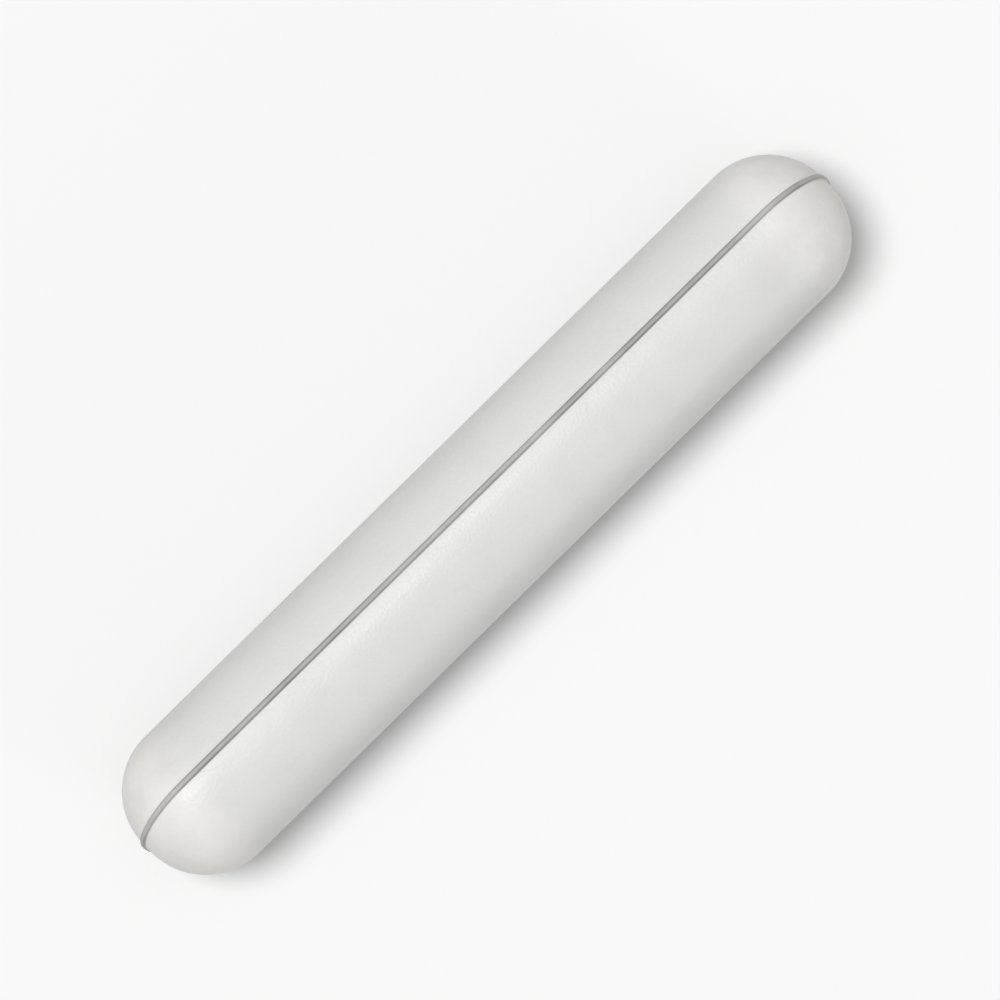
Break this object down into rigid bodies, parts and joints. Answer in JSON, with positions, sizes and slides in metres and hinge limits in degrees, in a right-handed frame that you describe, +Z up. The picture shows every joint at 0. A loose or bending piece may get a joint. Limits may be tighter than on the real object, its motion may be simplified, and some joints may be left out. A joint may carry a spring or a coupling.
{
  "type": "magnetic stir bar",
  "caption": "Round magnetic stir bar with rounded ends: a rod magnet sealed in a smooth white jacket with a fine raised mould line running lengthwise over both tips.",
  "frame": {"origin": "middle of the bar, on its axis, halfway between the tips", "axes": "+X along the bar, from tip to tip; +Z up, with the bar lying on its lowest line at z = -3 mm and leaning on its mould flash; the upper flash lies towards +Y"},
  "size_m": [0.0352, 0.006, 0.006],
  "materials": {
    "jacket_fluoropolymer": "moulded and sintered PTFE, waxy off-white with a soft satin sheen",
    "magnet_alloy": "cast AlNiCo rod, ground dull grey, sealed inside the jacket"
  },
  "bodies": {
    "root": {"jacket": "jacket_fluoropolymer", "magnet": "magnet_alloy"}
  },
  "joints": []
}
